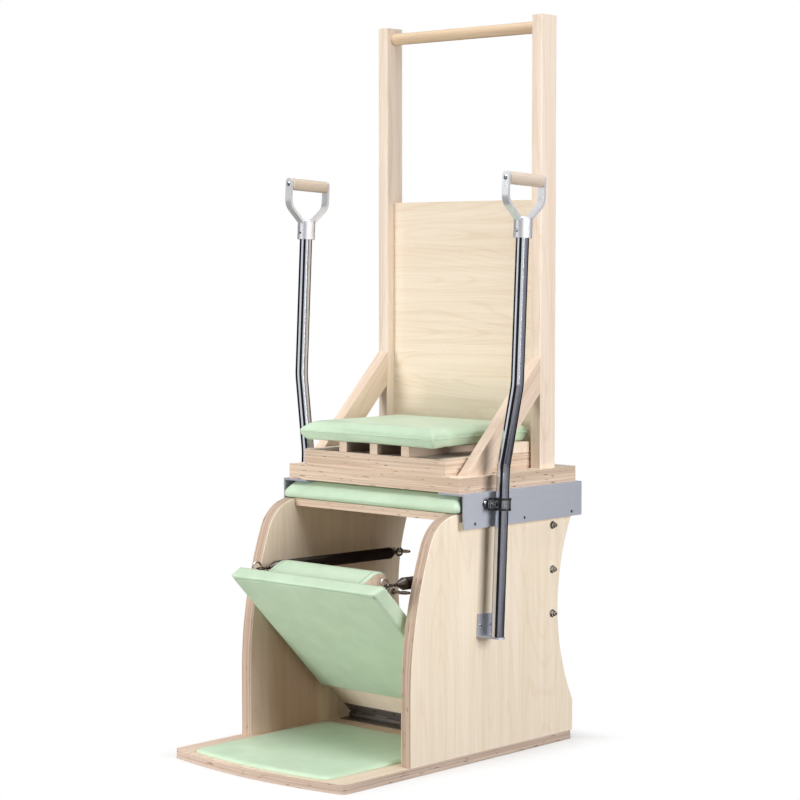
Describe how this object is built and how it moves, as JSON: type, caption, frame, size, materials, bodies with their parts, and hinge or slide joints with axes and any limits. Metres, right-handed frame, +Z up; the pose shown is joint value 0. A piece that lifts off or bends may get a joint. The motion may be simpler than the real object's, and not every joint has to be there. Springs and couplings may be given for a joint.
{
  "type": "pilates chair",
  "caption": "Wooden pilates chair with a sprung padded pedal, a padded seat, a lift-off seat unit with a high post back and two leaning handle poles.",
  "frame": {"origin": "on the floor, at the middle of the width and depth", "axes": "+Z up, -Y to the front where the pedal is, +X to the right seen from the front"},
  "size_m": [0.768, 0.8649, 1.7969],
  "materials": {
    "plywood": "satin",
    "hardwood": "satin",
    "vinyl": "satin",
    "aluminium": "satin",
    "bright_aluminium": "polished",
    "chrome": "polished",
    "zinc": "satin",
    "dark_steel": "satin",
    "spring_steel": "satin",
    "rubber": "matte",
    "glide": "matte"
  },
  "bodies": {
    "chair_frame": {"base_board": "plywood", "left_side_panel": "plywood", "right_side_panel": "plywood", "seat_board": "plywood", "seat_board_dowels": "hardwood", "base_screws": "zinc", "lower_seat_pad": "vinyl", "floor_pad": "vinyl", "hinge_base_leaf": "dark_steel", "hinge_pin": "dark_steel", "hinge_base_screws": "zinc", "left_spring_anchors": "zinc", "right_spring_anchors": "zinc", "anchor_washers": "zinc", "anchor_nuts": "zinc", "left_pole_bracket": "aluminium", "right_pole_bracket": "aluminium", "bracket_screws": "zinc"},
    "pedal": {"pedal_board": "plywood", "pedal_pad": "vinyl", "foot_bar_core": "hardwood", "foot_bar_cover": "vinyl", "foot_bar_screws": "zinc", "hinge_pedal_leaf": "dark_steel", "hinge_pedal_screws": "zinc", "pedal_eyes": "zinc"},
    "left_spring_body": {"left_spring": "spring_steel", "left_spring_rear_hook": "dark_steel"},
    "right_spring_body": {"right_spring": "spring_steel", "right_spring_rear_hook": "dark_steel"},
    "left_spring_end": {"left_spring_front_hook": "dark_steel"},
    "right_spring_end": {"right_spring_front_hook": "dark_steel"},
    "seat_unit": {"left_rail": "aluminium", "right_rail": "aluminium", "rail_glides": "glide", "rail_screws": "zinc", "deck_board": "plywood", "deck_screws": "zinc", "seat_riser_board": "plywood", "seat_ribs": "hardwood", "rear_seat_rail": "hardwood", "upper_seat_pad": "vinyl", "left_post": "hardwood", "right_post": "hardwood", "left_brace": "hardwood", "right_brace": "hardwood", "back_panel": "plywood", "top_bar": "hardwood", "left_clamp_band": "zinc", "right_clamp_band": "zinc", "clamp_liners": "rubber", "clamp_bolts": "zinc"},
    "left_pole": {"left_pole_tube": "chrome", "left_handle_yoke": "bright_aluminium", "left_handle_grip": "hardwood", "left_handle_bolts": "zinc"},
    "right_pole": {"right_pole_tube": "chrome", "right_handle_yoke": "bright_aluminium", "right_handle_grip": "hardwood", "right_handle_bolts": "zinc"}
  },
  "joints": [
    {"name": "pedal_swing", "type": "hinge", "parent": "chair_frame", "child": "pedal", "pos_m": [0, 0.1595, 0.0289], "axis": [1, 0, 0], "range_deg": [0, 37], "stiffness_Nm_per_rad": 100, "springref_deg": -22.92},
    {"name": "seat_unit_lift", "type": "slide", "parent": "chair_frame", "child": "seat_unit", "axis": [0, 0, 1], "range_m": [0, 0.12]},
    {"name": "left_spring_swing", "type": "hinge", "parent": "chair_frame", "child": "left_spring_body", "pos_m": [-0.214, 0.3265, 0.436], "axis": [1, 0, 0], "range_deg": [0, 23.5]},
    {"name": "left_spring_stretch", "type": "slide", "parent": "left_spring_body", "child": "left_spring_end", "axis": [0, -0.9999, 0.0138], "range_m": [0, 0.251], "deforming": ["left_spring"]},
    {"name": "left_pole_lift", "type": "slide", "parent": "seat_unit", "child": "left_pole", "axis": [0, 0.0506, 0.9987], "range_m": [0, 0.25]},
    {"name": "right_spring_swing", "type": "hinge", "parent": "chair_frame", "child": "right_spring_body", "pos_m": [0.214, 0.3265, 0.436], "axis": [1, 0, 0], "range_deg": [0, 23.5]},
    {"name": "right_spring_stretch", "type": "slide", "parent": "right_spring_body", "child": "right_spring_end", "axis": [0, -0.9999, 0.0138], "range_m": [0, 0.251], "deforming": ["right_spring"]},
    {"name": "right_pole_lift", "type": "slide", "parent": "seat_unit", "child": "right_pole", "axis": [0, 0.0506, 0.9987], "range_m": [0, 0.25]}
  ],
  "couplings": [
    {"joint": "left_spring_swing", "follows": "pedal_swing", "ratio": 0.6226},
    {"joint": "left_spring_stretch", "follows": "pedal_swing", "m_per_rad": 0.38583},
    {"joint": "right_spring_swing", "follows": "pedal_swing", "ratio": 0.6226},
    {"joint": "right_spring_stretch", "follows": "pedal_swing", "m_per_rad": 0.38583}
  ]
}
